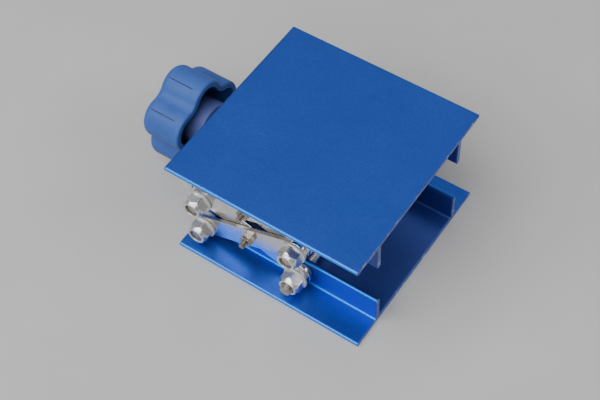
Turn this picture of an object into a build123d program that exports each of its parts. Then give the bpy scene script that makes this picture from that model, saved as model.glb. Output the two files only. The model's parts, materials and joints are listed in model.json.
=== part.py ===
from build123d import *
import os
from math import atan2, degrees, sqrt

# Small laboratory scissor jack with two identical aluminium channel plates, two scissor stages
# and a lead screw turned by a five-lobed plastic knob. Sizes are in millimetres.
# Frame: origin at the centre of the base's underside, +Z up, the screw along X with the knob at -X.

# Plates
PLATE_SIDE = 100.0
PLATE_THICKNESS = 2.0
CHANNEL_HEIGHT = 17.0
RAIL_INNER_Y = 31.8
RAIL_OUTER_Y = 34.2
RAIL_FOOT_FILLET = 0.9
PLATE_EDGE_FILLET = 0.9

# Linkage at rest: two stages of crossed arms over one span
PIVOT_EDGE = 9.8
FIXED_X = 10.0
SPAN = 52.0
STAGE_RISE = 20.55
LOWEST_RISE = 16.7
HIGHEST_RISE = 50.45

SLIDE_X = FIXED_X - SPAN
CENTRE_X = FIXED_X - SPAN / 2
LOW_Z = PIVOT_EDGE
MID_Z = LOW_Z + STAGE_RISE
HIGH_Z = MID_Z + STAGE_RISE
TOTAL_HEIGHT = HIGH_Z + PIVOT_EDGE
ARM_LENGTH = sqrt(SPAN**2 + STAGE_RISE**2)
LONGEST_SPAN = sqrt(ARM_LENGTH**2 - LOWEST_RISE**2)
SHORTEST_SPAN = sqrt(ARM_LENGTH**2 - HIGHEST_RISE**2)

# Arms lie in two layers outside each rail
ARM_WIDTH = 12.0
ARM_THICKNESS = 2.0
ARM_EDGE_FILLET = 0.35
ARM_GAP = 0.1
INNER_LAYER_Y = 35.0
OUTER_LAYER_Y = INNER_LAYER_Y + ARM_THICKNESS + ARM_GAP
ARM_STACK_Y = OUTER_LAYER_Y + ARM_THICKNESS

# Fits
RUNNING_GAP = 0.06
PRESS_GAP = 0.02
SLOT_GAP = 0.1
FACE_GAP = 0.05

# Cross rods, studs and their locking nuts
ROD_RADIUS = 3.0
NUT_FLATS = 10.0
NUT_HEX_HEIGHT = 4.3
NUT_HEIGHT = 6.0
THIN_NUT_HEIGHT = 2.7
INSERT_HEIGHT = 1.5
WASHER_RADIUS = 6.2
WASHER_THICKNESS = 1.4
WASHER_EDGE_FILLET = 0.4
FIXED_SPACER_RADIUS = 4.4
ROD_END_CHAMFER = 0.5
LONG_ROD_END = 2.2
TOP_SLIDE_ROD_END = 0.9
THIN_NUT_ROD_END = 0.8
STUD_RECESS = 0.8
INSERT_WALL = 0.8
COLLAR_LIP = 0.3
SPRING_WASHER_RADIUS = 5.2
SPRING_WASHER_THICKNESS = 1.3
SPRING_WASHER_GAP = 0.9
SPRING_WASHER_TILT = 25

# Pivots at the middle of each arm pair
CENTRE_BOLT_RADIUS = 1.5
CENTRE_BOLT_TIP_Y = 45.0
CENTRE_HEAD_RADIUS = 2.9
CENTRE_HEAD_DEPTH = 1.4
CENTRE_TIP_CHAMFER = 0.3
CENTRE_SOCKET_FLATS = 2.0
CENTRE_SOCKET_DEPTH = 1.0
CENTRE_NUT_FLATS = 5.5
CENTRE_NUT_HEIGHT = 2.4
CENTRE_WASHER_RADIUS = 3.2
CENTRE_WASHER_THICKNESS = 0.5

# Trunnions that the screw runs through
TRUNNION_RADIUS = 6.5
TRUNNION_HALF_LENGTH = INNER_LAYER_Y - FACE_GAP
TRUNNION_SEAT = 5.5
TRUNNION_SEAT_WIDTH = 14.0
TRUNNION_END_CHAMFER = 0.6

# Screw, whose line lies below the middle pivots
SCREW_DROP = 2.0
SCREW_Z = MID_Z - SCREW_DROP
SCREW_JOURNAL_RADIUS = 3.0
SCREW_THREAD_RADIUS = 2.9
SCREW_SHANK_RADIUS = 4.0
SCREW_REACH = 60.0
SCREW_TIP_CHAMFER = 0.8
SCREW_STEP_OVERLAP = 1.0
THRUST_WASHER_RADIUS = 5.4
THRUST_WASHER_THICKNESS = 0.8
CLIP_RADIUS = 4.6
CLIP_THICKNESS = 0.8
CLIP_GROOVE_RADIUS = 2.4
CLIP_MOUTH = 4.0

# Knob
KNOB_CLOSED_X = -89.5
KNOB_RIM_X = -67.5
KNOB_LOBES = 5
KNOB_LOBE_CENTRE = 13.7
KNOB_LOBE_ARC = 10.6
KNOB_VALLEY_ARC = 6.0
KNOB_PHASE = 7.5
KNOB_WALL = 3.0
KNOB_CROWN_FILLET = 4.2
KNOB_RIM_FILLET = 1.2
KNOB_CAVITY_FILLET = 2.0
KNOB_GROOVE_WIDTH = 0.5
KNOB_GROOVE_DEPTH = 0.35
KNOB_GROOVE_START_X = -87.0
KNOB_GROOVE_END_X = -72.3
KNOB_GROOVE_VALLEY = 115.5
KNOB_GROOVE_SPREAD = 21.5
HUB_RADIUS = 12.0
HUB_END_X = -63.0
HUB_END_FILLET = 0.8
INSERT_RADIUS = 5.0
INSERT_START_X = -83.0


def place_y(shape, x, y, z, side):
    """Turn a shape built up along +Z so that it points outwards on one side of the jack."""
    return Pos(x, side * y, z) * Rot(-90 * side, 0, 0) * shape


def both_sides(shape, x, y, z):
    """The same small part on the near and the far side, as two separate solids."""
    return Compound(children=[place_y(shape, x, y, z, side) for side in (-1, 1)])


def cross_hole(x, z, radius):
    return Pos(x, 0, z) * Rot(90, 0, 0) * Cylinder(radius, 2 * RAIL_OUTER_Y + 10)


# Plates


def channel_profile():
    """Section of the plate and its two rails, with the plate's outer face on the X axis."""
    rail_thickness = RAIL_OUTER_Y - RAIL_INNER_Y
    low = (Align.CENTER, Align.MIN)
    profile = Rectangle(PLATE_SIDE, PLATE_THICKNESS, align=low)
    for side in (-1, 1):
        middle = side * (RAIL_INNER_Y + RAIL_OUTER_Y) / 2
        profile += Pos(middle, 0) * Rectangle(rail_thickness, CHANNEL_HEIGHT, align=low)
    feet = [v for v in profile.vertices() if abs(v.Y - PLATE_THICKNESS) < 0.01 and abs(v.X) < 40]
    profile = fillet(feet, RAIL_FOOT_FILLET)
    rims = [v for v in profile.vertices() if abs(v.X) > 45 or v.Y > CHANNEL_HEIGHT - 0.01]
    return fillet(rims, PLATE_EDGE_FILLET)


def channel_plate():
    """Plate with its rails up, the fixed rod's holes and the slots for the sliding rod."""
    plate = extrude(Plane.YZ * channel_profile(), PLATE_SIDE / 2, both=True)
    plate -= cross_hole(FIXED_X, PIVOT_EDGE, ROD_RADIUS + PRESS_GAP)
    slot_start = FIXED_X - LONGEST_SPAN - SLOT_GAP
    slot_end = FIXED_X - SHORTEST_SPAN + SLOT_GAP
    slot = SlotCenterToCenter(slot_end - slot_start, 2 * (ROD_RADIUS + SLOT_GAP))
    slot = Plane.XZ * Pos((slot_start + slot_end) / 2, PIVOT_EDGE) * slot
    return plate - extrude(slot, RAIL_OUTER_Y + 5, both=True)


# Arms


def arm(start, end, layer_y, side, start_hole, centre_hole, end_hole, countersunk=False):
    """Flat bar with round ends between two pivots, given as (x, z)."""
    middle_x = (start[0] + end[0]) / 2
    middle_z = (start[1] + end[1]) / 2
    angle = degrees(atan2(end[1] - start[1], end[0] - start[0]))
    bar = extrude(SlotCenterToCenter(ARM_LENGTH, ARM_WIDTH), ARM_THICKNESS)
    rims = [e for e in bar.edges() if e.length > ARM_THICKNESS + 0.01]
    bar = fillet(rims, ARM_EDGE_FILLET)
    for offset, radius in ((-0.5, start_hole), (0, centre_hole), (0.5, end_hole)):
        bar -= Pos(offset * ARM_LENGTH, 0, 0) * Cylinder(radius, 4 * ARM_THICKNESS)
    if countersunk:
        bar -= countersink(FACE_GAP / 2)
    return place_y(Rot(0, 0, -side * angle) * bar, middle_x, layer_y, middle_z, side)


def countersink(gap):
    """Cone for a flush screw head at the inner face of an inner arm, widest at Z = 0."""
    slope = (CENTRE_HEAD_RADIUS - CENTRE_BOLT_RADIUS) / CENTRE_HEAD_DEPTH
    depth = CENTRE_HEAD_DEPTH + gap
    low = (Align.CENTER, Align.CENTER, Align.MIN)
    return Cone(CENTRE_BOLT_RADIUS + slope * depth, CENTRE_BOLT_RADIUS, depth, align=low)


# Fasteners, each built up along +Z from its seat at Z = 0


def ring(outer, inner, thickness, edge=0.15):
    low = (Align.CENTER, Align.CENTER, Align.MIN)
    disc = Cylinder(outer, thickness, align=low)
    disc = fillet([e for e in disc.edges() if e.geom_type == GeomType.CIRCLE], edge)
    return disc - Cylinder(inner, thickness, align=low)


def open_ring(outer, inner, thickness, gap, gap_tilt=0):
    """Square-edged ring with a gap across one side."""
    low = (Align.CENTER, Align.CENTER, Align.MIN)
    body = Cylinder(outer, thickness, align=low) - Cylinder(inner, thickness, align=low)
    cutter = Rot(gap_tilt, 0, 0) * Box(outer, gap, 4 * thickness)
    return body - Pos(outer / 2 + inner / 2, 0, thickness / 2) * cutter


def hex_blank(flats, profile, turn):
    """A turned profile of (radius, height) points cut to a hexagon."""
    blank = revolve(Plane.XZ * make_face(Polyline(*profile, close=True)), Axis.Z)
    height = max(point[1] for point in profile)
    prism = extrude(RegularPolygon(flats / 2, 6, major_radius=False), height)
    return Rot(0, 0, turn) * (blank & prism)


def lock_nut(turn=0):
    """Hexagon nut with a domed end that holds a plastic ring."""
    corner = NUT_FLATS / sqrt(3)
    flat = NUT_FLATS / 2
    insert_low = NUT_HEIGHT - COLLAR_LIP - INSERT_HEIGHT
    profile = [
        (ROD_RADIUS + PRESS_GAP, 0),
        (flat + 0.25, 0),
        (corner, 0.25),
        (corner, NUT_HEX_HEIGHT - 0.8),
        (flat, NUT_HEX_HEIGHT),
        (flat - 0.2, NUT_HEX_HEIGHT + 0.7),
        (flat - 0.5, NUT_HEIGHT - 0.35),
        (flat - 0.85, NUT_HEIGHT),
        (ROD_RADIUS + 0.35, NUT_HEIGHT),
        (ROD_RADIUS + 0.35, NUT_HEIGHT - COLLAR_LIP),
        (ROD_RADIUS + INSERT_WALL, NUT_HEIGHT - COLLAR_LIP),
        (ROD_RADIUS + INSERT_WALL, insert_low),
        (ROD_RADIUS + PRESS_GAP, insert_low),
    ]
    return hex_blank(NUT_FLATS, profile, turn)


def nut_insert():
    """Plastic locking ring inside the nut's collar."""
    body = ring(ROD_RADIUS + INSERT_WALL, ROD_RADIUS + PRESS_GAP, INSERT_HEIGHT, 0.1)
    return Pos(0, 0, NUT_HEIGHT - COLLAR_LIP - INSERT_HEIGHT) * body


def plain_nut(flats, bore, height, turn=0):
    """Thin hexagon nut, chamfered on both faces."""
    corner = flats / sqrt(3)
    profile = [
        (bore, 0),
        (flats / 2 - 0.1, 0),
        (corner, 0.35),
        (corner, height - 0.35),
        (flats / 2 - 0.1, height),
        (bore, height),
    ]
    return hex_blank(flats, profile, turn)


def cross_rod(x, z, half_length):
    """Plain rod right across the jack with bevelled ends."""
    rod = Cylinder(ROD_RADIUS, 2 * half_length)
    rod = chamfer([e for e in rod.edges() if e.geom_type == GeomType.CIRCLE], ROD_END_CHAMFER)
    return Pos(x, 0, z) * Rot(90, 0, 0) * rod


def centre_bolt():
    """Countersunk screw, head down, from the inner arm's inner face outwards."""
    low = (Align.CENTER, Align.CENTER, Align.MIN)
    shank = Cylinder(CENTRE_BOLT_RADIUS, CENTRE_BOLT_TIP_Y - INNER_LAYER_Y, align=low)
    shank = chamfer([e for e in shank.edges() if e.center().Z > 1], CENTRE_TIP_CHAMFER)
    head = Cone(CENTRE_HEAD_RADIUS, CENTRE_BOLT_RADIUS, CENTRE_HEAD_DEPTH, align=low)
    hexagon = RegularPolygon(CENTRE_SOCKET_FLATS / 2, 6, major_radius=False)
    socket = extrude(hexagon, CENTRE_SOCKET_DEPTH)
    return shank + head - socket


# Trunnions and screw


def trunnion(x, bore, seats):
    """Round bar across the jack, with a stud at each end and a hole across it for the screw."""
    stud_end = ARM_STACK_Y + FACE_GAP + WASHER_THICKNESS + NUT_HEIGHT - STUD_RECESS
    bar = Cylinder(TRUNNION_RADIUS, 2 * TRUNNION_HALF_LENGTH)
    bar = chamfer([e for e in bar.edges() if e.geom_type == GeomType.CIRCLE], TRUNNION_END_CHAMFER)
    stud = Cylinder(ROD_RADIUS, 2 * stud_end)
    stud = chamfer([e for e in stud.edges() if e.geom_type == GeomType.CIRCLE], ROD_END_CHAMFER)
    body = Rot(90, 0, 0) * (bar + stud)
    if seats:
        for side in (-1, 1):
            cut = Box(TRUNNION_RADIUS, TRUNNION_SEAT_WIDTH, TRUNNION_SEAT_WIDTH)
            body -= Pos(side * (TRUNNION_SEAT + TRUNNION_RADIUS / 2), 0, 0) * cut
    body -= Pos(0, 0, -SCREW_DROP) * Rot(0, 90, 0) * Cylinder(bore, 4 * TRUNNION_RADIUS)
    return Pos(x, 0, MID_Z) * body


def on_screw(x, shape):
    """Put a shape built up along +Z on the screw's line, pointing along +X from x."""
    return Pos(x, 0, SCREW_Z) * Rot(0, 90, 0) * shape


def shaft_step(start, end, radius):
    low = (Align.CENTER, Align.CENTER, Align.MIN)
    return on_screw(start, Cylinder(radius, end - start, align=low))


SEAT_OUT_X = SLIDE_X - TRUNNION_SEAT
SEAT_IN_X = SLIDE_X + TRUNNION_SEAT
SHOULDER_X = SEAT_OUT_X - 2 * FACE_GAP - THRUST_WASHER_THICKNESS
CLIP_X = SEAT_IN_X + 2 * FACE_GAP + THRUST_WASHER_THICKNESS
SCREW_END_X = SLIDE_X + SCREW_REACH


def lead_screw():
    """Screw with a stepped shank for the knob, a journal for the bearing trunnion and a thread."""
    overlap = SCREW_STEP_OVERLAP
    journal_end = CLIP_X + CLIP_THICKNESS + 1.0
    screw = shaft_step(INSERT_START_X + 1, HUB_END_X + overlap, SCREW_JOURNAL_RADIUS)
    screw += shaft_step(HUB_END_X + 2 * FACE_GAP, SHOULDER_X, SCREW_SHANK_RADIUS)
    screw += shaft_step(SHOULDER_X - overlap, journal_end, SCREW_JOURNAL_RADIUS)
    screw += shaft_step(journal_end - overlap, SCREW_END_X, SCREW_THREAD_RADIUS)
    tip = [e for e in screw.edges() if e.center().X > SCREW_END_X - 0.01]
    screw = chamfer(tip, SCREW_TIP_CHAMFER)
    groove_width = CLIP_THICKNESS + 2 * PRESS_GAP
    groove = ring(SCREW_JOURNAL_RADIUS + 1, CLIP_GROOVE_RADIUS, groove_width, 0.05)
    return screw - on_screw(CLIP_X - PRESS_GAP, groove)


def retaining_clip():
    """Open ring that snaps into the screw's groove."""
    return on_screw(CLIP_X, open_ring(CLIP_RADIUS, CLIP_GROOVE_RADIUS, CLIP_THICKNESS, CLIP_MOUTH))


def thrust_washers():
    washer = ring(THRUST_WASHER_RADIUS, SCREW_JOURNAL_RADIUS + 0.05, THRUST_WASHER_THICKNESS)
    return Compound(
        children=[
            on_screw(SEAT_OUT_X - FACE_GAP - THRUST_WASHER_THICKNESS, washer),
            on_screw(SEAT_IN_X + FACE_GAP, washer),
        ]
    )


# Knob


def lobed_outline(inset):
    """Outline of the knob moved inwards by inset: lobe arcs joined by valley arcs."""
    face = Circle(KNOB_LOBE_CENTRE)
    for i in range(KNOB_LOBES):
        lobe = Pos(KNOB_LOBE_CENTRE, 0) * Circle(KNOB_LOBE_ARC)
        face += Rot(0, 0, KNOB_PHASE + 360 * i / KNOB_LOBES) * lobe
    valleys = [v for v in face.vertices() if sqrt(v.X**2 + v.Y**2) < KNOB_LOBE_CENTRE + 6]
    face = fillet(valleys, KNOB_VALLEY_ARC)
    return offset(face, -inset) if inset else face


def knob_grooves():
    """Two shallow moulding lines along the outside, one on each flank of a valley."""
    start = Plane.YZ.offset(KNOB_GROOVE_START_X)
    length = KNOB_GROOVE_END_X - KNOB_GROOVE_START_X
    skin = extrude(start * lobed_outline(0), length)
    skin -= extrude(start * lobed_outline(KNOB_GROOVE_DEPTH), length)
    reach = 2 * KNOB_LOBE_CENTRE
    wall = Pos(KNOB_GROOVE_START_X + length / 2, reach / 2, 0) * Box(length, reach, KNOB_GROOVE_WIDTH)
    grooves = []
    for side in (-1, 1):
        grooves += (Rot(KNOB_GROOVE_VALLEY + side * KNOB_GROOVE_SPREAD, 0, 0) * wall & skin).solids()
    return grooves


def knob():
    """Five-lobed cup, closed at the outer end, with a hub that stands proud of its rim."""
    closed = Plane.YZ.offset(KNOB_CLOSED_X)
    body = extrude(closed * lobed_outline(0), KNOB_RIM_X - KNOB_CLOSED_X)
    crown = [e for e in body.edges() if abs(e.center().X - KNOB_CLOSED_X) < 0.1]
    body = fillet(crown, KNOB_CROWN_FILLET)
    rim = [e for e in body.edges() if abs(e.center().X - KNOB_RIM_X) < 0.1]
    body = fillet(rim, KNOB_RIM_FILLET)
    floor_x = KNOB_CLOSED_X + KNOB_WALL
    floor = Plane.YZ.offset(floor_x)
    cavity = extrude(floor * lobed_outline(KNOB_WALL), KNOB_RIM_X - floor_x + 1)
    corner = [e for e in cavity.edges() if abs(e.center().X - floor_x) < 0.1]
    body -= fillet(corner, KNOB_CAVITY_FILLET)
    low = (Align.CENTER, Align.CENTER, Align.MIN)
    turn = Rot(0, 90, 0)
    hub = Pos(floor_x - 1, 0, 0) * turn * Cylinder(HUB_RADIUS, HUB_END_X - floor_x + 1, align=low)
    hub = fillet([e for e in hub.edges() if e.center().X > HUB_END_X - 0.1], HUB_END_FILLET)
    body += hub
    bore_length = HUB_END_X - INSERT_START_X + 1
    body -= Pos(INSERT_START_X, 0, 0) * turn * Cylinder(INSERT_RADIUS + PRESS_GAP, bore_length, align=low)
    for groove in knob_grooves():
        body -= groove
    return Pos(0, 0, SCREW_Z) * body


def knob_insert():
    """Threaded metal bush moulded into the hub."""
    length = HUB_END_X - INSERT_START_X
    return on_screw(INSERT_START_X, ring(INSERT_RADIUS, SCREW_JOURNAL_RADIUS + PRESS_GAP, length, 0.3))


# Assembly

low_fixed = (FIXED_X, LOW_Z)
low_slide = (SLIDE_X, LOW_Z)
mid_slide = (SLIDE_X, MID_Z)
mid_fixed = (FIXED_X, MID_Z)
high_slide = (SLIDE_X, HIGH_Z)
high_fixed = (FIXED_X, HIGH_Z)
LOWER_CENTRE_Z = (LOW_Z + MID_Z) / 2
UPPER_CENTRE_Z = (MID_Z + HIGH_Z) / 2

stud_hole = ROD_RADIUS + RUNNING_GAP
fixed_hole = ROD_RADIUS + PRESS_GAP
bolt_hole = CENTRE_BOLT_RADIUS + PRESS_GAP
bolt_running_hole = CENTRE_BOLT_RADIUS + RUNNING_GAP

base = channel_plate()
nodes = {
    "base_plate": base,
    "top_plate": Pos(0, 0, TOTAL_HEIGHT) * mirror(base, Plane.XY),
}

for name, side in (("near", -1), ("far", 1)):
    nodes[f"lower_inner_arm_{name}"] = arm(
        mid_slide, low_fixed, INNER_LAYER_Y, side, stud_hole, bolt_hole, stud_hole, True
    )
    nodes[f"lower_outer_arm_{name}"] = arm(
        low_slide, mid_fixed, OUTER_LAYER_Y, side, fixed_hole, bolt_running_hole, stud_hole
    )
    nodes[f"upper_inner_arm_{name}"] = arm(
        high_slide, mid_fixed, INNER_LAYER_Y, side, fixed_hole, bolt_hole, stud_hole, True
    )
    nodes[f"upper_outer_arm_{name}"] = arm(
        mid_slide, high_fixed, OUTER_LAYER_Y, side, stud_hole, bolt_running_hole, stud_hole
    )

washer = ring(WASHER_RADIUS, ROD_RADIUS + PRESS_GAP, WASHER_THICKNESS, WASHER_EDGE_FILLET)
rail_gap = INNER_LAYER_Y - RAIL_OUTER_Y - 2 * FACE_GAP
inner_spacer = ring(WASHER_RADIUS - 1.0, ROD_RADIUS + PRESS_GAP, rail_gap, 0.1)
outer_spacer = ring(
    WASHER_RADIUS - 1.4, ROD_RADIUS + PRESS_GAP, OUTER_LAYER_Y - RAIL_OUTER_Y - 2 * FACE_GAP, 0.15
)
STACK_SEAT_Y = ARM_STACK_Y + FACE_GAP
INNER_SEAT_Y = INNER_LAYER_Y + ARM_THICKNESS + FACE_GAP
NUT_SEAT_Y = STACK_SEAT_Y + WASHER_THICKNESS

# The base's fixed rod holds inner arms only, so a second spacer fills the outer layer.
fixed_spacer = ring(FIXED_SPACER_RADIUS, ROD_RADIUS + PRESS_GAP, STACK_SEAT_Y - INNER_SEAT_Y)
inner_spacers = both_sides(inner_spacer, FIXED_X, RAIL_OUTER_Y + FACE_GAP, LOW_Z)
outer_spacers = both_sides(fixed_spacer, FIXED_X, INNER_SEAT_Y, LOW_Z)
nodes["base_fixed_rod"] = cross_rod(*low_fixed, NUT_SEAT_Y + NUT_HEIGHT + LONG_ROD_END)
nodes["base_fixed_spacers"] = Compound(children=[*inner_spacers.solids(), *outer_spacers.solids()])
nodes["base_fixed_washers"] = both_sides(washer, FIXED_X, STACK_SEAT_Y, LOW_Z)
nodes["base_fixed_nuts"] = both_sides(lock_nut(0), FIXED_X, NUT_SEAT_Y, LOW_Z)
nodes["base_fixed_nut_inserts"] = both_sides(nut_insert(), FIXED_X, NUT_SEAT_Y, LOW_Z)

# The base's sliding rod is fixed in the lower outer arms and runs in the rails' slots.
nodes["base_slide_rod"] = cross_rod(*low_slide, NUT_SEAT_Y + NUT_HEIGHT - STUD_RECESS)
nodes["base_slide_spacers"] = both_sides(outer_spacer, SLIDE_X, RAIL_OUTER_Y + FACE_GAP, LOW_Z)
nodes["base_slide_washers"] = both_sides(washer, SLIDE_X, STACK_SEAT_Y, LOW_Z)
nodes["base_slide_nuts"] = both_sides(lock_nut(22), SLIDE_X, NUT_SEAT_Y, LOW_Z)
nodes["base_slide_nut_inserts"] = both_sides(nut_insert(), SLIDE_X, NUT_SEAT_Y, LOW_Z)

# The top's sliding rod is fixed in the upper inner arms, with a spring washer under each nut.
spring_washer = open_ring(
    SPRING_WASHER_RADIUS,
    ROD_RADIUS + FACE_GAP,
    SPRING_WASHER_THICKNESS,
    SPRING_WASHER_GAP,
    SPRING_WASHER_TILT,
)
spring_y = INNER_SEAT_Y + WASHER_THICKNESS
top_nut_y = spring_y + SPRING_WASHER_THICKNESS
nodes["top_slide_rod"] = cross_rod(*high_slide, top_nut_y + NUT_HEIGHT + TOP_SLIDE_ROD_END)
nodes["top_slide_spacers"] = both_sides(inner_spacer, SLIDE_X, RAIL_OUTER_Y + FACE_GAP, HIGH_Z)
nodes["top_slide_washers"] = both_sides(washer, SLIDE_X, INNER_SEAT_Y, HIGH_Z)
nodes["top_slide_spring_washers"] = both_sides(spring_washer, SLIDE_X, spring_y, HIGH_Z)
nodes["top_slide_nuts"] = both_sides(lock_nut(14), SLIDE_X, top_nut_y, HIGH_Z)
nodes["top_slide_nut_inserts"] = both_sides(nut_insert(), SLIDE_X, top_nut_y, HIGH_Z)

# The top's fixed rod carries the upper outer arms and ends in thin nuts under the plate's edge.
thin_nut = plain_nut(NUT_FLATS, ROD_RADIUS + PRESS_GAP, THIN_NUT_HEIGHT, 5)
nodes["top_fixed_rod"] = cross_rod(*high_fixed, NUT_SEAT_Y + THIN_NUT_HEIGHT + THIN_NUT_ROD_END)
nodes["top_fixed_spacers"] = both_sides(outer_spacer, FIXED_X, RAIL_OUTER_Y + FACE_GAP, HIGH_Z)
nodes["top_fixed_washers"] = both_sides(washer, FIXED_X, STACK_SEAT_Y, HIGH_Z)
nodes["top_fixed_nuts"] = both_sides(thin_nut, FIXED_X, NUT_SEAT_Y, HIGH_Z)

# Trunnions carry the screw just under the two rows of middle pivots.
nodes["bearing_trunnion"] = trunnion(SLIDE_X, SCREW_JOURNAL_RADIUS + RUNNING_GAP, True)
nodes["threaded_trunnion"] = trunnion(FIXED_X, SCREW_THREAD_RADIUS + RUNNING_GAP, False)
for name, x, turn in (("bearing", SLIDE_X, 17), ("threaded", FIXED_X, 11)):
    nodes[f"{name}_trunnion_washers"] = both_sides(washer, x, STACK_SEAT_Y, MID_Z)
    nodes[f"{name}_trunnion_nuts"] = both_sides(lock_nut(turn), x, NUT_SEAT_Y, MID_Z)
    nodes[f"{name}_trunnion_nut_inserts"] = both_sides(nut_insert(), x, NUT_SEAT_Y, MID_Z)

# A screw, washer and thin nut hold each crossed pair at its middle.
centre_washer = ring(CENTRE_WASHER_RADIUS, CENTRE_BOLT_RADIUS + PRESS_GAP, CENTRE_WASHER_THICKNESS, 0.1)
centre_nut = plain_nut(CENTRE_NUT_FLATS, CENTRE_BOLT_RADIUS + PRESS_GAP, CENTRE_NUT_HEIGHT, 25)
centre_nut_y = STACK_SEAT_Y + CENTRE_WASHER_THICKNESS
for name, z in (("lower", LOWER_CENTRE_Z), ("upper", UPPER_CENTRE_Z)):
    nodes[f"{name}_centre_bolts"] = both_sides(centre_bolt(), CENTRE_X, INNER_LAYER_Y, z)
    nodes[f"{name}_centre_washers"] = both_sides(centre_washer, CENTRE_X, STACK_SEAT_Y, z)
    nodes[f"{name}_centre_nuts"] = both_sides(centre_nut, CENTRE_X, centre_nut_y, z)

nodes["lead_screw"] = lead_screw()
nodes["screw_thrust_washers"] = thrust_washers()
nodes["screw_retaining_clip"] = retaining_clip()
nodes["knob"] = knob()
nodes["knob_insert"] = knob_insert()

os.makedirs("parts", exist_ok=True)
for name, shape in nodes.items():
    export_step(shape, f"parts/{name}.step")

start_angle = degrees(atan2(STAGE_RISE, SPAN))
lowest = degrees(atan2(LOWEST_RISE, LONGEST_SPAN)) - start_angle
highest = degrees(atan2(HIGHEST_RISE, SHORTEST_SPAN)) - start_angle
print(f"{len(nodes)} nodes, arm angle {start_angle:.4f} deg at rest")
print(f"fold from {lowest:.4f} to {highest:.4f} deg, height at rest {TOTAL_HEIGHT:.2f} mm")
print(f"span from {SHORTEST_SPAN:.3f} to {LONGEST_SPAN:.3f} mm")
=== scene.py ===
import json
from math import atan2, cos, exp, floor, hypot, log, radians, sin, sqrt, tau

import bmesh
import bpy
from mathutils import Matrix, Vector


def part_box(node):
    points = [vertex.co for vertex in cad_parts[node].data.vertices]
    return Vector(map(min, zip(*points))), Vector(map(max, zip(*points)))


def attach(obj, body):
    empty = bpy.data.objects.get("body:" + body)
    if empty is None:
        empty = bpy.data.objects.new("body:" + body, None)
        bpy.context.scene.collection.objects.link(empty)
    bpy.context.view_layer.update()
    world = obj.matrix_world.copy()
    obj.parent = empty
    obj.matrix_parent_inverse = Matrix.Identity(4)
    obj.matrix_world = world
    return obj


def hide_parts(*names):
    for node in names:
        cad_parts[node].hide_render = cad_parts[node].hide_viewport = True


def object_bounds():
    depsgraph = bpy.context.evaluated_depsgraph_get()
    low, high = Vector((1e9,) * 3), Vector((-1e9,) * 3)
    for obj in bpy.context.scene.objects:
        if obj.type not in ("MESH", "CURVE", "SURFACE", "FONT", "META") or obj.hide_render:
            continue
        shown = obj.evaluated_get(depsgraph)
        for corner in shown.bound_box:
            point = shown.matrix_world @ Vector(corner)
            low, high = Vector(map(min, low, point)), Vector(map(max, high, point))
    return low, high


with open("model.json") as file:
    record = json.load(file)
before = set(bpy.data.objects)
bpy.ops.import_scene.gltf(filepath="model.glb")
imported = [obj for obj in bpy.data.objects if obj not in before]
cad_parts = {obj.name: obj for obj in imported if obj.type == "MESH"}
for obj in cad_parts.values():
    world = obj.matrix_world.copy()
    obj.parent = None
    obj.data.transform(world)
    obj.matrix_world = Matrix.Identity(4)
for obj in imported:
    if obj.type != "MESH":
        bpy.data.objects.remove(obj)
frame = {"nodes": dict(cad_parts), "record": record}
cad_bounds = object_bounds()
BODIES = frame["record"]["behaviour"]["bodies"]

MM = 0.001
X, Y, Z = range(3)

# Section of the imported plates
PLATE_THICKNESS = 2.0 * MM
RAIL_INNER = 31.8 * MM
RAIL_OUTER = 34.2 * MM
RAIL_FOOT_FILLET = 0.9 * MM

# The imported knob's hub, and the wall of its closed end
HUB_RADIUS = 12.0 * MM
KNOB_WALL = 3.0 * MM

# Real sizes of the threads, in millimetres. major is a radius, and bevel is how far the end's 45 degree
# bevel cuts in. mark is the turning mark in the middle of the end face, in pairs of radius and depth
ROD_THREAD = {"major": 3.0, "pitch": 1.0, "bevel": 0.5, "mark": ((0.9, 0), (0.35, 0.12), (0, 0.16))}
SCREW_THREAD = {"major": 2.9, "pitch": 1.0, "bevel": 0.8, "mark": ((1.0, 0), (0.4, 0.15), (0, 0.2))}
CENTRE_THREAD = {"major": 1.5, "pitch": 0.5, "bevel": 0.3, "mark": ((0.5, 0), (0.2, 0.08), (0, 0.1))}
ROD_THREAD_LENGTH = 11.0
THREAD_DEPTH_IN_PITCHES = 0.61
THREAD_GAP = 0.02
RUN_OUT = 0.3

# Real sizes of the nuts, in millimetres
LOCK_NUT = {"flats": 10.0, "height": 6.0, "bore": ROD_THREAD["major"] + THREAD_GAP}
THIN_NUT = {"flats": 10.0, "height": 2.7, "bore": ROD_THREAD["major"] + THREAD_GAP}
CENTRE_NUT = {"flats": 5.5, "height": 2.4, "bore": CENTRE_THREAD["major"] + THREAD_GAP}

# Surface resolution: sides of a full turn, and lengths in millimetres
NUT_SIDES = 96
THREAD_SIDES = 40
LEAD_SCREW_SIDES = 48
ROWS_PER_PITCH = 10
OUTLINE_STEP = 0.16
CORNER_SOFTNESS = 0.045
WELD_DISTANCE = 0.001

# A hexagon's side can be the nearest only if the cosine of its angle is over this
LEAST_FACING = 0.35


# Places in the frame


def centre_of(node):
    low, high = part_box(node)
    return (low + high) / 2


def body_of(node):
    return next(name for name, members in BODIES.items() if node in members)


HEAD_SEAT_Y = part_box("lower_inner_arm_far")[0].y
ARM_STACK_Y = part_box("lower_outer_arm_far")[1].y
pivot_run = centre_of("base_fixed_rod").x - centre_of("base_slide_rod").x
pivot_rise = centre_of("bearing_trunnion").z - centre_of("base_slide_rod").z
ARM_TILT = atan2(pivot_rise, pivot_run)


# Node helpers


def new_material(name, **shader_values):
    material = bpy.data.materials.new(name)
    material.use_nodes = True
    tree = material.node_tree
    shader = tree.nodes["Principled BSDF"]
    for socket, value in shader_values.items():
        shader.inputs[socket.replace("_", " ")].default_value = value
    return material, tree, shader


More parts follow.
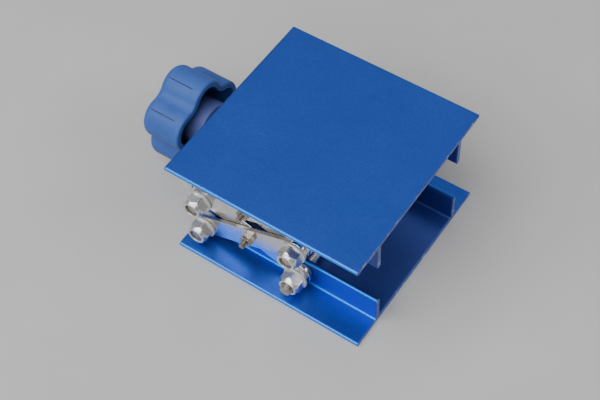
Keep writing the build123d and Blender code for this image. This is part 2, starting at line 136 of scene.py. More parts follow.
def feed(tree, socket, value):
    """Link a socket to a socket, or set its value."""
    if isinstance(value, bpy.types.NodeSocket):
        tree.links.new(value, socket)
    else:
        socket.default_value = value


def add_node(tree, kind, inputs=None, **settings):
    node = tree.nodes.new(kind)
    for key, value in settings.items():
        setattr(node, key, value)
    for key, value in (inputs or {}).items():
        feed(tree, node.inputs[key], value)
    return node


def math(tree, operation, first, second=0.0):
    return add_node(tree, "ShaderNodeMath", {0: first, 1: second}, operation=operation).outputs[0]


def times(tree, first, second):
    return math(tree, "MULTIPLY", first, second)


def distance(tree, first, second):
    """Distance between two values on a line."""
    return math(tree, "ABSOLUTE", math(tree, "SUBTRACT", first, second))


def remap(tree, value, low, high, to_low=0.0, to_high=1.0):
    inputs = {"Value": value, "From Min": low, "From Max": high, "To Min": to_low, "To Max": to_high}
    return add_node(tree, "ShaderNodeMapRange", inputs).outputs[0]


def fade(tree, value, start, end):
    """One where the value is below start, and nothing where it is above end."""
    return remap(tree, value, start, end, 1.0, 0.0)


def mix(tree, factor, first, second, blend="MIX"):
    """Mix two colours, each a socket or a tuple of red, green and blue."""
    node = add_node(tree, "ShaderNodeMix", data_type="RGBA", blend_type=blend)
    feed(tree, node.inputs[0], factor)
    for index, colour in ((6, first), (7, second)):
        feed(tree, node.inputs[index], (*colour, 1) if isinstance(colour, tuple) else colour)
    return node.outputs[2]


def place(tree, scale=(1, 1, 1), rotation=(0, 0, 0), offset=(0, 0, 0)):
    """Position on the object in metres, scaled along each axis, turned, then moved."""
    where = add_node(tree, "ShaderNodeTexCoord").outputs["Object"]
    mapping = add_node(tree, "ShaderNodeMapping", {"Vector": where})
    mapping.inputs["Scale"].default_value = scale
    mapping.inputs["Rotation"].default_value = rotation
    mapping.inputs["Location"].default_value = offset
    return mapping.outputs[0]


def coordinate(tree, axis):
    return add_node(tree, "ShaderNodeSeparateXYZ", {0: place(tree)}).outputs[axis]


def noise(tree, vector, scale, detail=2.0, roughness=0.5, distortion=0.0):
    inputs = {"Vector": vector, "Scale": scale, "Detail": detail}
    inputs.update({"Roughness": roughness, "Distortion": distortion})
    return add_node(tree, "ShaderNodeTexNoise", inputs).outputs["Fac"]


def openness(tree, reach):
    """How open the surface is, from 0 in a closed corner to 1, looking as far as reach."""
    return add_node(tree, "ShaderNodeAmbientOcclusion", {"Distance": reach}, samples=6).outputs["AO"]


def bump(tree, height, strength, depth, below=None):
    inputs = {"Height": height, "Strength": strength, "Distance": depth}
    if below:
        inputs["Normal"] = below
    return add_node(tree, "ShaderNodeBump", inputs).outputs[0]


def hairlines(tree, vector, width, patch_scale):
    """Thin broken scratches: contour lines of a stretched noise, kept only in patches."""
    line = fade(tree, distance(tree, noise(tree, vector, 1.0, 0.0), 0.5), 0.0, width)
    patches = remap(tree, noise(tree, place(tree), patch_scale, 1.0), 0.55, 0.62)
    return times(tree, line, patches)


def specks(tree, cells, radius, share):
    """Round dust specks: one in a share of the cells, radius given in cells."""
    cell = add_node(tree, "ShaderNodeTexVoronoi", {"Vector": place(tree), "Scale": cells})
    dot = fade(tree, cell.outputs["Distance"], radius * 0.6, radius)
    chosen = add_node(tree, "ShaderNodeSeparateColor", {0: cell.outputs["Color"]})
    return times(tree, dot, math(tree, "LESS_THAN", chosen.outputs[0], share))


# Blue anodised plates. across is the distance from the middle line, and depth from the outer face


def blue_dye(tree, tone, grain):
    """Deep blue with soft clouds, crystal grain and a fine speckle."""
    colour = mix(tree, remap(tree, tone, 0.35, 0.65), (0.026, 0.108, 0.60), (0.031, 0.122, 0.66))
    colour = mix(tree, remap(tree, grain, 0.35, 0.7, 0.0, 0.10), colour, (0.06, 0.23, 0.80))
    speckle = noise(tree, place(tree), 1700, 2.0, 0.7)
    colour = mix(tree, remap(tree, speckle, 0.5, 0.8, 0.0, 0.30), colour, (0.07, 0.24, 0.80))
    return mix(tree, remap(tree, speckle, 0.5, 0.25, 0.0, 0.35), colour, (0.012, 0.06, 0.42))


def channel_film(tree, colour, across, depth):
    """Grey film of handling dirt between the rails, and painted shade darkening the rails' inner faces.
    """
    within = math(tree, "GREATER_THAN", depth, PLATE_THICKNESS / 2)
    film = fade(tree, across, RAIL_INNER - 0.15 * MM, RAIL_INNER + 0.25 * MM)
    film = times(tree, times(tree, film, within), 0.45)
    colour = mix(tree, film, colour, (0.17, 0.175, 0.42))
    # Painted shade on the rails' inner faces and the inner half of their rims
    inner_wall_shade = remap(tree, across, RAIL_INNER - 0.75 * MM, RAIL_INNER - 0.15 * MM)
    inner_wall_shade = times(tree, inner_wall_shade, fade(tree, across, RAIL_INNER + 0.45 * MM, RAIL_INNER + 1.25 * MM))
    inner_wall_shade = times(tree, times(tree, inner_wall_shade, within), 0.7)
    return mix(tree, inner_wall_shade, colour, (0.018, 0.020, 0.11))


def painted_highlight_edges(tree, across, depth, half_side, channel_height):
    """One on the plate's two rolled edges, the rails' rims and the fillets at their outer feet, where a
    pale blue highlight is painted.
    """
    edge = fade(tree, math(tree, "SUBTRACT", half_side, across), 0.3 * MM, 1.0 * MM)
    rim = fade(tree, distance(tree, channel_height, depth), 0.3 * MM, 1.0 * MM)
    rim = times(tree, rim, remap(tree, across, RAIL_OUTER - 0.95 * MM, RAIL_OUTER - 0.55 * MM))
    half_fillet = RAIL_FOOT_FILLET / 2
    foot = fade(tree, distance(tree, PLATE_THICKNESS + half_fillet, depth), 0.43 * MM, 0.47 * MM)
    beside = fade(tree, distance(tree, across, RAIL_OUTER + half_fillet), 0.5 * MM, 0.7 * MM)
    return math(tree, "MAXIMUM", edge, math(tree, "MAXIMUM", rim, times(tree, foot, beside)))


def outer_walls(tree, across, depth):
    """One on the rails' outer faces, which painted shade darkens."""
    beyond = remap(tree, across, RAIL_OUTER - 0.15 * MM, RAIL_OUTER + 0.05 * MM)
    return times(tree, beyond, math(tree, "GREATER_THAN", depth, PLATE_THICKNESS + 0.5 * MM))


def handling_marks(tree):
    """Two crossing sets of fine scratches."""
    scratches = hairlines(tree, place(tree, (40, 300, 300), (0, 0, 0.5)), 0.004, 60)
    crossing = hairlines(tree, place(tree, (260, 35, 260), (0, 0, 0.3)), 0.004, 45)
    return math(tree, "MAXIMUM", scratches, crossing)


def sawn_ends(tree, colour, end_distance, sawn, saw_lines):
    """Greyer sawn ends, rubbed pale here and there along their edges."""
    end_tone = mix(tree, remap(tree, saw_lines, 0.3, 0.7), (0.08, 0.12, 0.40), (0.15, 0.20, 0.52))
    colour = mix(tree, sawn, colour, end_tone)
    rubbed = remap(tree, end_distance, 0.0, 0.3 * MM, 0.8, 0.0)
    worn = remap(tree, noise(tree, place(tree), 220, 4.0, 0.7), 0.54, 0.64)
    return mix(tree, times(tree, rubbed, worn), colour, (0.48, 0.54, 0.68))


def blue_anodised(name, node, outer_face, dust, shade):
    """Etched and blue-dyed extrusion: fine grain, faint die lines, sawn ends, a little dust, painted
    shade on the rails and a painted highlight on the rolled edges.
    """
    low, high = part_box(node)
    half_side = high.x
    material, tree, shader = new_material(name, Metallic=0.94, Coat_Roughness=0.45)
    across = math(tree, "ABSOLUTE", coordinate(tree, Y))
    depth = distance(tree, coordinate(tree, Z), outer_face)
    end_distance = math(tree, "SUBTRACT", half_side, math(tree, "ABSOLUTE", coordinate(tree, X)))
    die_lines = noise(tree, place(tree, scale=(14, 1500, 1500)), 1.0, 3.0, 0.6)
    saw_lines = noise(tree, place(tree, scale=(1, 300, 5200)), 1.0, 2.0)
    grain = noise(tree, place(tree), 7000, 2.0, 0.6)
    clouds = noise(tree, place(tree), 24, 4.0, 0.6)
    fine_clouds = noise(tree, place(tree), 260, 3.0, 0.6)
    tone = math(tree, "ADD", times(tree, clouds, 0.7), times(tree, fine_clouds, 0.3))

    # Mask of the painted highlight on the rolled edges, rims and outer feet
    rolled = painted_highlight_edges(tree, across, depth, half_side, high.z - low.z)
    marks = handling_marks(tree)
    sawn = math(tree, "LESS_THAN", end_distance, 0.03 * MM)
    fine_dust = specks(tree, 330, 0.05, 0.10 * dust)
    lint = specks(tree, 120, 0.035, 0.10 * dust)
    dusty = times(tree, math(tree, "MAXIMUM", fine_dust, lint), 0.6)

    # The rolled edges, rims and outer feet are given a painted highlight of pale cyan blue, mixed in
    # below
    colour = channel_film(tree, blue_dye(tree, tone, grain), across, depth)
    # Painted shade on the rails' outer faces
    painted_wall_shade = times(tree, outer_walls(tree, across, depth), shade)
    colour = mix(tree, painted_wall_shade, colour, (0.026, 0.016, 0.075))
    # Painted highlight on the rolled edges, rims and outer feet
    colour = mix(tree, times(tree, rolled, 0.95), colour, (0.010, 0.275, 1.0))
    colour = mix(tree, times(tree, marks, 0.35), colour, (0.10, 0.26, 0.66))
    colour = sawn_ends(tree, colour, end_distance, sawn, saw_lines)
    feed(tree, shader.inputs["Base Color"], mix(tree, dusty, colour, (0.45, 0.52, 0.62)))

    roughness = remap(tree, tone, 0.3, 0.7, 0.37, 0.43)
    for mask, change in ((marks, -0.06), (sawn, 0.15), (rolled, -0.05)):
        roughness = math(tree, "ADD", roughness, times(tree, mask, change))
    feed(tree, shader.inputs["Roughness"], roughness)
    feed(tree, shader.inputs["Coat Weight"], remap(tree, rolled, 0.0, 1.0, 0.22, 0.0))
    normal = add_node(tree, "ShaderNodeBevel", {"Radius": 1.2 * MM}, samples=6).outputs[0]
    normal = bump(tree, die_lines, 0.10, 0.02 * MM, normal)
    normal = bump(tree, grain, 0.30, 0.02 * MM, normal)
    normal = bump(tree, times(tree, saw_lines, sawn), 0.4, 0.04 * MM, normal)
    feed(tree, shader.inputs["Normal"], normal)
    return material


# Other materials


def polished_steel(name, tilt):
    """Polished stainless strip, with fine lines along a bar that leans by tilt about Y."""
    material, tree, shader = new_material(name, Metallic=1.0)
    lines = noise(tree, place(tree, (30, 2600, 2600), (0, tilt, 0)), 1.0, 3.0, 0.65)
    scratches = hairlines(tree, place(tree, (60, 60, 700), (0, tilt, 0)), 0.006, 150)
    smears = noise(tree, place(tree), 160, 3.0, 0.6)
    colour = mix(tree, remap(tree, smears, 0.35, 0.7), (0.70, 0.68, 0.65), (0.79, 0.775, 0.75))
    feed(tree, shader.inputs["Base Color"], colour)
    roughness = remap(tree, smears, 0.3, 0.75, 0.13, 0.27)
    roughness = math(tree, "ADD", roughness, times(tree, scratches, 0.2))
    feed(tree, shader.inputs["Roughness"], roughness)
    normal = bump(tree, lines, 0.10, 0.01 * MM)
    feed(tree, shader.inputs["Normal"], bump(tree, scratches, 0.15, 0.01 * MM, normal))
    return material


def zinc(name, metallic=0.97, light=(0.90, 0.90, 0.89), dark=(0.68, 0.68, 0.68), rough=(0.24, 0.34)):
    """Dulled zinc plate with a faint bloom, pits and stains."""
    material, tree, shader = new_material(name, Metallic=metallic)
    bloom = noise(tree, place(tree), 420, 4.0, 0.65, 0.3)
    pits = noise(tree, place(tree), 4200, 2.0, 0.6)
    stain = remap(tree, noise(tree, place(tree), 900, 3.0, 0.7), 0.62, 0.72, 0.0, 0.5)
    colour = mix(tree, remap(tree, bloom, 0.3, 0.7), dark, light)
    feed(tree, shader.inputs["Base Color"], mix(tree, stain, colour, (0.33, 0.31, 0.28)))
    feed(tree, shader.inputs["Roughness"], remap(tree, bloom, 0.3, 0.7, rough[1], rough[0]))
    normal = bump(tree, bloom, 0.12, 0.03 * MM)
    feed(tree, shader.inputs["Normal"], bump(tree, pits, 0.18, 0.01 * MM, normal))
    return material


def turned_metal(name, axis, light, dark, dull_from=None):
    """Bright turned metal with fine tool rings across the given axis, duller past a distance along it."""
    material, tree, shader = new_material(name, Metallic=1.0)
    scale = [60, 60, 60]
    scale[axis] = 5200
    rings = noise(tree, place(tree, scale), 1.0, 2.0)
    haze = noise(tree, place(tree), 260, 3.0, 0.6)
    colour = mix(tree, remap(tree, haze, 0.35, 0.7), dark, light)
    if dull_from:
        reach = math(tree, "ABSOLUTE", coordinate(tree, axis))
        dull = remap(tree, reach, dull_from, dull_from + 2 * MM)
        colour = mix(tree, dull, colour, (0.74, 0.68, 0.60), "MULTIPLY")
    feed(tree, shader.inputs["Base Color"], colour)
    feed(tree, shader.inputs["Roughness"], remap(tree, haze, 0.3, 0.7, 0.34, 0.2))
    feed(tree, shader.inputs["Normal"], bump(tree, rings, 0.14, 0.015 * MM))
    return material


def hub_mask(tree):
    """One inside the hub's radius, except on the outer side of the knob's closed end."""
    closed_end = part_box("knob")[0].x + KNOB_WALL / 2
    from_axis = place(tree, scale=(0, 1, 1), offset=(0, 0, -centre_of("knob_insert").z))
    radius = add_node(tree, "ShaderNodeVectorMath", {0: from_axis}, operation="LENGTH").outputs["Value"]
    hub = fade(tree, radius, HUB_RADIUS + 0.1 * MM, HUB_RADIUS + 0.5 * MM)
    return times(tree, hub, math(tree, "GREATER_THAN", coordinate(tree, X), closed_end))


def blue_plastic(name):
    """Dull moulded plastic: fine texture, slight cloudiness, pale handling bloom and a greyer violet hub,
    a painted reflection of the blue plate on shaded plastic.
    """
    material, tree, shader = new_material(name, IOR=1.49, Specular_IOR_Level=0.4)
    clouds = noise(tree, place(tree), 70, 4.0, 0.6)
    grain = noise(tree, place(tree), 3600, 3.0, 0.6)
    bloom = remap(tree, noise(tree, place(tree), 240, 4.0, 0.7), 0.5, 0.75, 0.0, 0.2)
    rubs = hairlines(tree, place(tree, (220, 90, 90), (0.4, 0.2, 0.3)), 0.006, 110)
    colour = mix(tree, remap(tree, clouds, 0.35, 0.65), (0.030, 0.095, 0.37), (0.038, 0.112, 0.41))
    colour = mix(tree, bloom, colour, (0.10, 0.18, 0.46))
    # Painted reflection and shade: the hub is tinted violet grey
    colour = mix(tree, times(tree, hub_mask(tree), 0.45), colour, (0.16, 0.14, 0.33))

    # Painted shade: the grooves in the lobes and the hollow round the hub are darkened the more closed in
    # they are
    groove_shade = remap(tree, openness(tree, 0.9 * MM), 0.35, 0.9, 0.3, 1.0)
    hollow_shade = remap(tree, openness(tree, 12 * MM), 0.2, 0.8, 0.1, 1.0)
    colour = mix(tree, times(tree, groove_shade, hollow_shade), (0.008, 0.012, 0.045), colour)
    colour = mix(tree, times(tree, rubs, 0.3), colour, (0.20, 0.30, 0.56))
    feed(tree, shader.inputs["Base Color"], colour)
    feed(tree, shader.inputs["Roughness"], remap(tree, clouds, 0.3, 0.7, 0.5, 0.6))
    normal = bump(tree, grain, 0.22, 0.04 * MM)
    feed(tree, shader.inputs["Normal"], bump(tree, clouds, 0.15, 0.3 * MM, normal))
    return material


def nylon(name):
    """Slightly translucent plastic ring, greyed dark as painted shade for the shadowed gap round the rod
    tips.
    """
    values = {"Roughness": 0.45, "Subsurface_Weight": 0.15, "Subsurface_Scale": 0.8 * MM, "IOR": 1.53}
    material, tree, shader = new_material(name, **values)
    haze = noise(tree, place(tree), 900, 2.0)
    feed(tree, shader.inputs["Base Color"], mix(tree, haze, (0.13, 0.13, 0.12), (0.20, 0.20, 0.18)))
    feed(tree, shader.inputs["Normal"], bump(tree, haze, 0.1, 0.02 * MM))
    return material


def pale_floor(name):
    """Plain pale grey sheet with a faint mottle."""
    material, tree, shader = new_material(name, Roughness=0.55, Specular_IOR_Level=0.25)
    mottle = noise(tree, place(tree), 14, 5.0, 0.6)
    grain = noise(tree, place(tree), 900, 3.0, 0.6)
    colour = mix(tree, remap(tree, mottle, 0.3, 0.7), (0.505, 0.50, 0.498), (0.54, 0.538, 0.535))
    feed(tree, shader.inputs["Base Color"], colour)
    feed(tree, shader.inputs["Normal"], bump(tree, grain, 0.08, 0.1 * MM))
    return material


# Mesh helpers. Radii, heights and outlines are in millimetres


def soft_min(values):
    """Smallest of the values, with a rounded change from one to the next."""
    least = min(values)
    return least - CORNER_SOFTNESS * log(sum(exp((least - value) / CORNER_SOFTNESS) for value in values))


def hexagon(flats, angle):
    """Distance from the middle to the side of a hexagon with softened corners."""
    facings = [cos(angle - tau * side / 6) for side in range(6)]
    return soft_min([flats / 2 / facing for facing in facings if facing > LEAST_FACING])


def bridge(bm, low, high):
    """Faces between two loops, either of which may be a single point."""
    for i in range(max(len(low), len(high))):
        corners = [low[i % len(low)], low[(i + 1) % len(low)]]
        corners += [high[(i + 1) % len(high)], high[i % len(high)]]
        bm.faces.new(list(dict.fromkeys(corners)))


def turned(bm, rows, where, sides, closed=False):
    """Add a surface of loops. A row is (radius, height), and its radius may be a function of angle."""
    loops = []
    for radius, height in rows:
        loop = []
        for i in range(1 if radius == 0 else sides):
            angle = tau * i / sides
            reach = radius(angle) if callable(radius) else radius
            point = Vector((reach * cos(angle), reach * sin(angle), height)) * MM
            loop.append(bm.verts.new(where @ point))
        loops.append(loop)
    following = loops[1:] + (loops[:1] if closed else [])
    for low, high in zip(loops, following):
        bridge(bm, low, high)


def dense(outline, step):
    """The same outline with no step between points longer than step."""
    points = [outline[0]]
    for start, end in zip(outline, outline[1:]):
        count = max(1, int(hypot(end[0] - start[0], end[1] - start[1]) / step + 0.99))
        for i in range(1, count + 1):
            t = i / count
            points.append((start[0] + (end[0] - start[0]) * t, start[1] + (end[1] - start[1]) * t))
    return points


def arc(centre, radius, start, end, count):
    """Points of a circular arc in (radius, height), angles in degrees."""
    angles = [radians(start + (end - start) * i / count) for i in range(count + 1)]
    return [(centre[0] + radius * cos(a), centre[1] + radius * sin(a)) for a in angles]


def hexed(outline, flats):
    """Rows of a turned outline, cut to a hexagon where it comes near the sides of one."""
    always_round = flats / 2 - 0.5
    rows = []
    for radius, height in outline:
        def reach(angle, radius=radius):
            return soft_min([radius, hexagon(flats, angle)])
        rows.append((reach if radius > always_round else radius, height))
    return rows


def thread_rows(start, end, thread, low_limit=None, high_limit=None):
    """Rows of a right-hand thread. A limit is (height, radius) of a 45 degree end bevel."""
    depth = THREAD_DEPTH_IN_PITCHES * thread["pitch"]
    count = int((end - start) / thread["pitch"] * ROWS_PER_PITCH) + 1
    rows = []
    for i in range(count + 1):
        height = start + (end - start) * i / count

        def reach(angle, height=height):
            turn = height / thread["pitch"] - angle / tau
            ridge = abs(2 * (turn - floor(turn)) - 1)
            # Flat crests and roots
            flattened = min(1.0, max(0.0, 1.3 * ridge - 0.15))
            radius = thread["major"] - depth * (1 - flattened)
            for limit, sign in ((low_limit, 1), (high_limit, -1)):
                if limit:
                    radius = min(radius, limit[1] + sign * (height - limit[0]))
            return radius

        rows.append((reach, height))
    return rows


def end_face(tip, thread):
    """Flat ring inside the bevel, then the shallow turning mark in the middle."""
    rim = thread["major"] - thread["bevel"] - 0.1
    return [(rim, tip)] + [(radius, tip - depth) for radius, depth in thread["mark"]]


def threaded_end(start, tip, thread):
    """Rows of a thread from start to a bevelled tip, with its end face."""
    bevel = (tip, thread["major"] - thread["bevel"])
    return thread_rows(start, tip - THREAD_GAP, thread, high_limit=bevel) + end_face(tip, thread)


def outward(x, y, z, side):
    """Local +Z points out of the jack along Y on one side."""
    turn = Matrix.Rotation(radians(-90 * side), 4, "X")
    return Matrix.Translation((x, side * y, z)) @ turn


def finish_piece(bm, name, material, replaced, sharp):
    """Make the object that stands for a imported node. Edges steeper than sharp degrees stay crisp."""
    bmesh.ops.recalc_face_normals(bm, faces=bm.faces)
    mesh = bpy.data.meshes.new(name)
    bm.to_mesh(mesh)
    bm.free()
    mesh.polygons.foreach_set("use_smooth", [True] * len(mesh.polygons))
    mesh.set_sharp_from_angle(angle=radians(sharp))
    mesh.materials.append(material)
    piece = bpy.data.objects.new(name, mesh)
    bpy.context.scene.collection.objects.link(piece)
    body = body_of(replaced)
    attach(piece, body)
    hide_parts(replaced)


# Fasteners, rods and screw


def lock_nut_outline():
    """Hexagon body running into a broad dome, rolled in over the plastic ring, bore upwards."""
    flat = LOCK_NUT["flats"] / 2
    corner = LOCK_NUT["flats"] / sqrt(3)
    bore = LOCK_NUT["bore"]
    top = LOCK_NUT["height"]
    pocket = flat - 1.2
    # Bearing face and body, a little wider than its corners until hexed cuts it
    outline = [(bore, 0.25), (bore + 0.25, 0.0), (flat - 0.1, 0.0)]
    outline += [(flat + 0.2, 0.03), (corner + 0.05, 0.3), (corner + 0.05, 3.45)]
    # Dome
    outline += [(flat + 0.25, 4.0), (flat + 0.02, 4.35), (flat - 0.1, 4.7)]
    outline += [(flat - 0.24, 5.1), (flat - 0.42, 5.5)]
    # Lip, rolled over and in
    outline += arc((flat - 0.95, 5.55), 0.55, 8, 90, 8)
    outline += arc((flat - 1.45, top - 0.2), 0.2, 90, 200, 6)
    # Pocket of the plastic ring, down to the thread
    outline += [(pocket, top - 0.36), (pocket, top - 1.75), (bore, top - 1.8)]
    return outline


def plain_nut_outline(nut):
    """Flat hexagon nut with both faces chamfered."""
    flat = nut["flats"] / 2
    widest = nut["flats"] / sqrt(3) + 0.05
    bore = nut["bore"]
    height = nut["height"]
    outline = [(bore, 0.2), (bore + 0.2, 0.0), (flat - 0.25, 0.0), (flat - 0.05, 0.04)]
    outline += [(widest, 0.38), (widest, height - 0.38), (flat - 0.05, height - 0.04)]
    outline += [(flat - 0.25, height), (bore + 0.2, height), (bore, height - 0.2)]
    return outline


def nut_pair(node, name, nut, outline, turns, material):
    """Two nuts on one axis, their tops outwards, each turned by its own angle in degrees."""
    middle = centre_of(node)
    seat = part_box(node)[1].y - nut["height"] * MM
    rows = hexed(dense(outline, OUTLINE_STEP), nut["flats"])
    bm = bmesh.new()
    for side, turn in zip((-1, 1), turns):
        where = outward(middle.x, seat, middle.z, side) @ Matrix.Rotation(radians(turn), 4, "Z")
        turned(bm, rows, where, NUT_SIDES, closed=True)
    finish_piece(bm, name, material, node, sharp=38)


def rod(node, name, material):
    """Plain bar with both ends threaded and bevelled."""
    low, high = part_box(node)
    middle = centre_of(node)
    half = (high.y - low.y) / 2 / MM
    start = half - ROD_THREAD_LENGTH
    shank = ROD_THREAD["major"] - THREAD_GAP
    low_bevel = (-half, ROD_THREAD["major"] - ROD_THREAD["bevel"])
    rows = [(radius, -height) for radius, height in reversed(end_face(half, ROD_THREAD))]
    rows += thread_rows(-half + THREAD_GAP, -start, ROD_THREAD, low_limit=low_bevel)
    rows += [(shank, -start + RUN_OUT), (shank, 0.0), (shank, start - RUN_OUT)]
    rows += threaded_end(start, half, ROD_THREAD)
    bm = bmesh.new()
    turned(bm, rows, outward(middle.x, middle.y, middle.z, 1), THREAD_SIDES)
    finish_piece(bm, name, material, node, sharp=60)


def socket_row(half_flats, height):
    """Row of a hexagon socket."""
    return (lambda angle: hexagon(2 * half_flats, angle), height)


def centre_screws(node, name, material):
    """Countersunk socket screws, heads inwards and threaded tips outwards."""
    middle = centre_of(node)
    length = (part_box(node)[1].y - HEAD_SEAT_Y) / MM
    thread_start = length - 6.5
    head_radius = 2.9
    head_height = 1.45
    shank = CENTRE_THREAD["major"] - 0.01
    # Socket, countersunk head, shank and threaded tip
    rows = [(0, 1.2), (0.55, 1.0), socket_row(1.0, 0.95), socket_row(1.0, 0.1), socket_row(1.1, 0.0)]
    rows += [(2.1, 0.0), (head_radius - 0.1, 0.0), (head_radius, 0.07), (head_radius - 0.05, 0.18)]
    rows += [(shank, head_height), (shank, thread_start - 0.2)]
    rows += threaded_end(thread_start, length, CENTRE_THREAD)
    bm = bmesh.new()
    for side in (-1, 1):
        turned(bm, rows, outward(middle.x, HEAD_SEAT_Y, middle.z, side), THREAD_SIDES)
    finish_piece(bm, name, material, node, sharp=50)


def trunnion(node, name, material):
    """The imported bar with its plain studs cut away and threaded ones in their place."""
    low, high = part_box(node)
    middle = centre_of(node)
    shoulder = HEAD_SEAT_Y - 0.05 * MM
    cut_at = shoulder + 0.02 * MM
    bm = bmesh.new()
    bm.from_mesh(frame["nodes"][node].data)
    bmesh.ops.remove_doubles(bm, verts=bm.verts, dist=WELD_DISTANCE * MM)
    for side in (-1, 1):
        cut = bmesh.ops.bisect_plane(
            bm,
            geom=bm.verts[:] + bm.edges[:] + bm.faces[:],
            plane_co=(0, side * cut_at, 0),
            plane_no=(0, side, 0),
            clear_outer=True,
        )
        rim = [e for e in cut["geom_cut"] if isinstance(e, bmesh.types.BMEdge)]
        bmesh.ops.contextual_create(bm, geom=rim)
    # The studs start inside the bar
    stud_start = shoulder / MM - 0.5
    length = (high.y - low.y) / 2 / MM
    rows = [(0, stud_start), (ROD_THREAD["major"] - 0.35, stud_start)]
    rows += threaded_end(stud_start + THREAD_GAP, length, ROD_THREAD)
    for side in (-1, 1):
        turned(bm, rows, outward(middle.x, 0, middle.z, side), THREAD_SIDES)
    finish_piece(bm, name, material, node, sharp=30)


def lead_screw(name, material):
    """Stepped shank, bearing journal with its clip groove, and the M6 thread, along X."""
    low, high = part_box("lead_screw")
    clip_low, clip_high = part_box("screw_retaining_clip")
    washer_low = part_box("screw_thrust_washers")[0]
    knob_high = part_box("knob")[1]
    corners = (knob_high, washer_low, clip_low, clip_high, high)
    hub_end, washer, clip_start, clip_end, tip = [(corner.x - low.x) / MM for corner in corners]
    shoulder = washer - 0.05
    groove_start = clip_start - 0.02
    groove_end = clip_end + 0.02
    journal, shank, groove = 3.0, 4.0, 2.4
    # End held in the knob, shank, journal with the clip's groove, and thread
    rows = [(0, 0.0), (journal - 0.4, 0.0), (journal, 0.4), (journal, hub_end + 0.1)]
    rows += [(shank - 0.3, hub_end + 0.1), (shank, hub_end + 0.4)]
    rows += [(shank, shoulder - 0.3), (shank - 0.3, shoulder)]
    rows += [(journal, shoulder), (journal, groove_start), (groove, groove_start)]
    rows += [(groove, groove_end), (journal, groove_end), (journal, clip_end + 0.8)]
    rows += [(SCREW_THREAD["major"] - 0.35, clip_end + 1.2)]
    rows += threaded_end(clip_end + 1.3, tip, SCREW_THREAD)
    where = Matrix.Translation((low.x, 0, (low.z + high.z) / 2)) @ Matrix.Rotation(radians(90), 4, "Y")
    bm = bmesh.new()
    turned(bm, rows, where, LEAD_SCREW_SIDES)
    finish_piece(bm, name, material, "lead_screw", sharp=45)


# Make the materials. shade is how strongly painted shade darkens the rails' outer faces, most on the top
# plate under its overhang

top_outer_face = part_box("top_plate")[1].z
base_outer_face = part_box("base_plate")[0].z
top_blue = blue_anodised("top_blue_anodised", "top_plate", top_outer_face, dust=0.25, shade=0.92)
base_blue = blue_anodised("base_blue_anodised", "base_plate", base_outer_face, dust=1.0, shade=0.45)
arm_steel_rising = polished_steel("arm_steel_rising", ARM_TILT)
arm_steel_falling = polished_steel("arm_steel_falling", -ARM_TILT)
zinc_plate = zinc("zinc_plate")
washer_zinc = zinc("washer_zinc", 0.6, (0.80, 0.80, 0.77), (0.66, 0.65, 0.62), (0.40, 0.52))
nickel = turned_metal("nickel_screws", Y, (0.50, 0.45, 0.38), (0.33, 0.29, 0.24))
rod_tips = ARM_STACK_Y + 0.4 * MM
rod_steel = turned_metal("rod_steel", Y, (0.68, 0.66, 0.65), (0.50, 0.48, 0.46), dull_from=rod_tips)
screw_steel = turned_metal("screw_steel", X, (0.58, 0.56, 0.53), (0.40, 0.39, 0.37))
brass = turned_metal("brass", X, (0.72, 0.53, 0.25), (0.55, 0.38, 0.16))
knob_blue = blue_plastic("knob_blue_plastic")
# The nut rings' dark grey is painted shade
nylon_shaded = nylon("nylon_insert")

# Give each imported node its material

own_material = {"top_plate": top_blue, "base_plate": base_blue, "knob": knob_blue, "knob_insert": brass}
for node, thing in frame["nodes"].items():
    material = own_material.get(node, washer_zinc)
    if "_arm_" in node:
        rising = node.startswith(("lower_outer", "upper_outer"))
        material = arm_steel_rising if rising else arm_steel_falling
    elif node.endswith("nut_inserts"):
        material = nylon_shaded
    thing.data.materials.clear()
    thing.data.materials.append(material)

# Detailed fasteners, rods and screw take the place of the plain packed ones

for node, turns in (
    ("base_fixed_nuts", (0, 31)),
    ("base_slide_nuts", (40, 4)),
    ("bearing_trunnion_nuts", (34, 50)),
    ("threaded_trunnion_nuts", (8, 26)),
    ("top_slide_nuts", (14, 39)),
):
    name = node.replace("_nuts", "_lock_nuts")
    nut_pair(node, name, LOCK_NUT, lock_nut_outline(), turns, zinc_plate)
thin_outline = plain_nut_outline(THIN_NUT)
nut_pair("top_fixed_nuts", "top_fixed_thin_nuts", THIN_NUT, thin_outline, (5, 20), zinc_plate)
for level in ("lower", "upper"):
    node = f"{level}_centre_nuts"
    name = f"{level}_centre_hex_nuts"
    nut_pair(node, name, CENTRE_NUT, plain_nut_outline(CENTRE_NUT), (25, 8), nickel)
    centre_screws(f"{level}_centre_bolts", f"{level}_centre_screws", nickel)
for node in ("base_fixed_rod", "base_slide_rod"):
    rod(node, f"{node}_threaded", rod_steel)
for node in ("top_fixed_rod", "top_slide_rod"):
    rod(node, f"{node}_threaded", zinc_plate)
for node in ("bearing_trunnion", "threaded_trunnion"):
    trunnion(node, f"{node}_bar", rod_steel)
lead_screw("lead_screw_threaded", screw_steel)

# Floor, light and camera, in metres. The lens, in millimetres, and the camera's place were found by
# fitting the render to the photograph

FLOOR_RADIUS = 4.0
CAMERA_AZIMUTH = radians(37.4061)
CAMERA_ELEVATION = radians(54.2716)
CAMERA_ROLL = radians(-3.6982)
CAMERA_DISTANCE = 0.57263
CAMERA_LENS = 75.651
AIM_FROM_MIDDLE = Vector((0.01596, -0.01463, 0.0))

low, high = cad_bounds
middle = (Vector(low) + Vector(high)) / 2


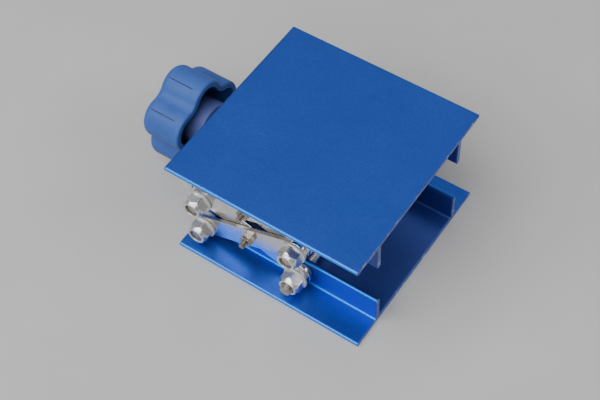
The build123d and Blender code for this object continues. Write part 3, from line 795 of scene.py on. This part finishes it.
def lay_floor(height):
    bm = bmesh.new()
    bmesh.ops.create_circle(bm, cap_ends=True, segments=96, radius=FLOOR_RADIUS)
    mesh = bpy.data.meshes.new("floor")
    bm.to_mesh(mesh)
    bm.free()
    mesh.materials.append(pale_floor("pale_floor"))
    thing = bpy.data.objects.new("floor", mesh)
    thing.location.z = height
    bpy.context.scene.collection.objects.link(thing)


def direction(azimuth, elevation):
    return Vector((-sin(azimuth) * cos(elevation), cos(azimuth) * cos(elevation), -sin(elevation)))


def camera():
    data = bpy.data.cameras.new("camera")
    data.sensor_width = 36
    data.lens = CAMERA_LENS
    data.clip_start = 0.01
    thing = bpy.data.objects.new("camera", data)
    bpy.context.scene.collection.objects.link(thing)
    forward = direction(CAMERA_AZIMUTH, CAMERA_ELEVATION)
    level = Vector((cos(CAMERA_AZIMUTH), sin(CAMERA_AZIMUTH), 0))
    upright = level.cross(forward)
    right = level * cos(CAMERA_ROLL) + upright * sin(CAMERA_ROLL)
    up = right.cross(forward)
    matrix = Matrix((right, up, -forward)).transposed().to_4x4()
    matrix.translation = middle + AIM_FROM_MIDDLE - forward * CAMERA_DISTANCE
    thing.matrix_world = matrix
    bpy.context.scene.camera = thing


def area_light(name, azimuth, elevation, away, size, power, colour):
    """Soft light that shines at the middle of the jack along the given direction, in degrees."""
    data = bpy.data.lights.new(name, "AREA")
    data.shape = "RECTANGLE"
    data.size, data.size_y = size
    data.energy = power
    data.color = colour
    thing = bpy.data.objects.new(name, data)
    bpy.context.scene.collection.objects.link(thing)
    heading = direction(radians(azimuth), radians(elevation))
    thing.location = middle - heading * away
    thing.rotation_euler = heading.to_track_quat("-Z", "Y").to_euler()


def surroundings(colour, strength):
    world = bpy.data.worlds.new("studio")
    bpy.context.scene.world = world
    world.use_nodes = True
    background = world.node_tree.nodes["Background"]
    background.inputs["Color"].default_value = (*colour, 1)
    background.inputs["Strength"].default_value = strength


lay_floor(low[2])
camera()
area_light("window", -12, 56, away=1.5, size=(2.2, 1.4), power=33, colour=(0.99, 0.995, 1.0))
area_light("lamp", 205, 60, away=1.2, size=(1.0, 1.0), power=0.8, colour=(1.0, 1.0, 1.0))
area_light("side", 105, 35, away=1.6, size=(0.9, 0.7), power=4.5, colour=(1.0, 0.99, 0.97))
surroundings((0.62, 0.63, 0.64), 0.45)
